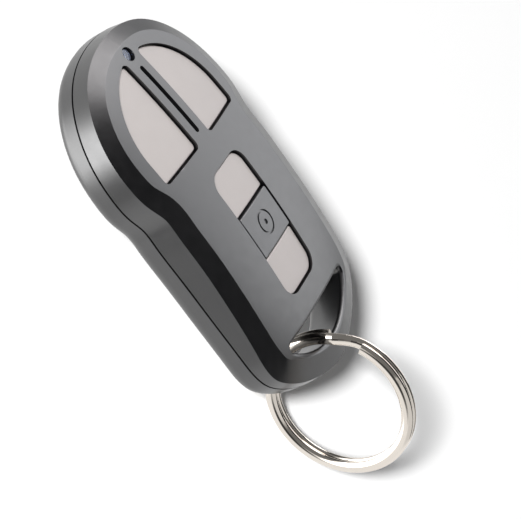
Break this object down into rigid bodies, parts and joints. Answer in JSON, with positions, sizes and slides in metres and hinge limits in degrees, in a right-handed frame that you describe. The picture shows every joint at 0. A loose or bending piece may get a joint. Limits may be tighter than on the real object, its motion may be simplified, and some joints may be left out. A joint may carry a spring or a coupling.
{
  "type": "key fob transmitter",
  "caption": "Hand-held key fob transmitter with leaf-shaped and square press buttons, an indicator lens and a split key ring through its tail.",
  "frame": {"origin": "point of the flat back face below the highest point of the crowned front", "axes": "+X to the right side seen from the front, +Y to the head with the indicator lens, -Y to the tail with the key ring, +Z out of the button side"},
  "size_m": [0.0358, 0.077, 0.024],
  "materials": {
    "case_plastic": "fine satin",
    "button_plastic": "satin silver grey",
    "dark_button_plastic": "satin",
    "lens_plastic": "clear",
    "silicone": "matt",
    "ring_nickel": "polished nickel",
    "screw_steel": "zinc plated",
    "board_laminate": "green mask",
    "copper": "tinned",
    "cell_steel": "nickel plated",
    "spring_steel": "bright",
    "gasket_plastic": "natural",
    "switch_plastic": "matt",
    "plunger_plastic": "matt",
    "chip_plastic": "moulded",
    "ceramic": "fired"
  },
  "bodies": {
    "case": {"front_cover": "case_plastic", "rear_cover": "case_plastic", "case_screws": "screw_steel", "silicone_keypad": "silicone", "led_lens": "lens_plastic", "circuit_board": "board_laminate", "loop_antenna": "copper", "indicator_led": "lens_plastic", "cell_can": "cell_steel", "cell_gasket": "gasket_plastic", "cell_cap": "cell_steel", "battery_clip": "spring_steel", "battery_contact": "spring_steel", "microcontroller": "chip_plastic", "saw_resonator": "cell_steel", "rf_transistor": "chip_plastic", "tuning_trimmer": "ceramic", "led_resistor": "chip_plastic", "bias_resistor": "chip_plastic", "pullup_resistor": "chip_plastic", "supply_capacitor": "ceramic", "coupling_capacitor": "ceramic", "antenna_capacitor": "ceramic", "left_switch_body": "switch_plastic", "left_switch_cover": "spring_steel", "left_switch_dome": "spring_steel", "right_switch_body": "switch_plastic", "right_switch_cover": "spring_steel", "right_switch_dome": "spring_steel", "upper_switch_body": "switch_plastic", "upper_switch_cover": "spring_steel", "upper_switch_dome": "spring_steel", "middle_switch_body": "switch_plastic", "middle_switch_cover": "spring_steel", "middle_switch_dome": "spring_steel", "lower_switch_body": "switch_plastic", "lower_switch_cover": "spring_steel", "lower_switch_dome": "spring_steel"},
    "left_key": {"left_button": "button_plastic", "left_switch_plunger": "plunger_plastic"},
    "right_key": {"right_button": "button_plastic", "right_switch_plunger": "plunger_plastic"},
    "upper_key": {"upper_button": "button_plastic", "upper_switch_plunger": "plunger_plastic"},
    "middle_key": {"middle_button": "dark_button_plastic", "middle_switch_plunger": "plunger_plastic"},
    "lower_key": {"lower_button": "button_plastic", "lower_switch_plunger": "plunger_plastic"},
    "ring": {"split_ring": "ring_nickel"}
  },
  "joints": [
    {"name": "left_key_press", "type": "slide", "parent": "case", "child": "left_key", "axis": [0, 0, -1], "range_m": [0, 0.0003], "stiffness_N_per_m": 2000, "deforming": ["silicone_keypad", "left_switch_dome"]},
    {"name": "right_key_press", "type": "slide", "parent": "case", "child": "right_key", "axis": [0, 0, -1], "range_m": [0, 0.0003], "stiffness_N_per_m": 2000, "deforming": ["silicone_keypad", "right_switch_dome"]},
    {"name": "upper_key_press", "type": "slide", "parent": "case", "child": "upper_key", "axis": [0, 0, -1], "range_m": [0, 0.0003], "stiffness_N_per_m": 2000, "deforming": ["silicone_keypad", "upper_switch_dome"]},
    {"name": "middle_key_press", "type": "slide", "parent": "case", "child": "middle_key", "axis": [0, 0, -1], "range_m": [0, 0.0003], "stiffness_N_per_m": 2000, "deforming": ["silicone_keypad", "middle_switch_dome"]},
    {"name": "lower_key_press", "type": "slide", "parent": "case", "child": "lower_key", "axis": [0, 0, -1], "range_m": [0, 0.0003], "stiffness_N_per_m": 2000, "deforming": ["silicone_keypad", "lower_switch_dome"]},
    {"name": "ring_swing", "type": "hinge", "parent": "case", "child": "ring", "pos_m": [-0.0049, -0.0335, 0.0043], "axis": [-1, 0, 0], "range_deg": [-45, 45]}
  ]
}
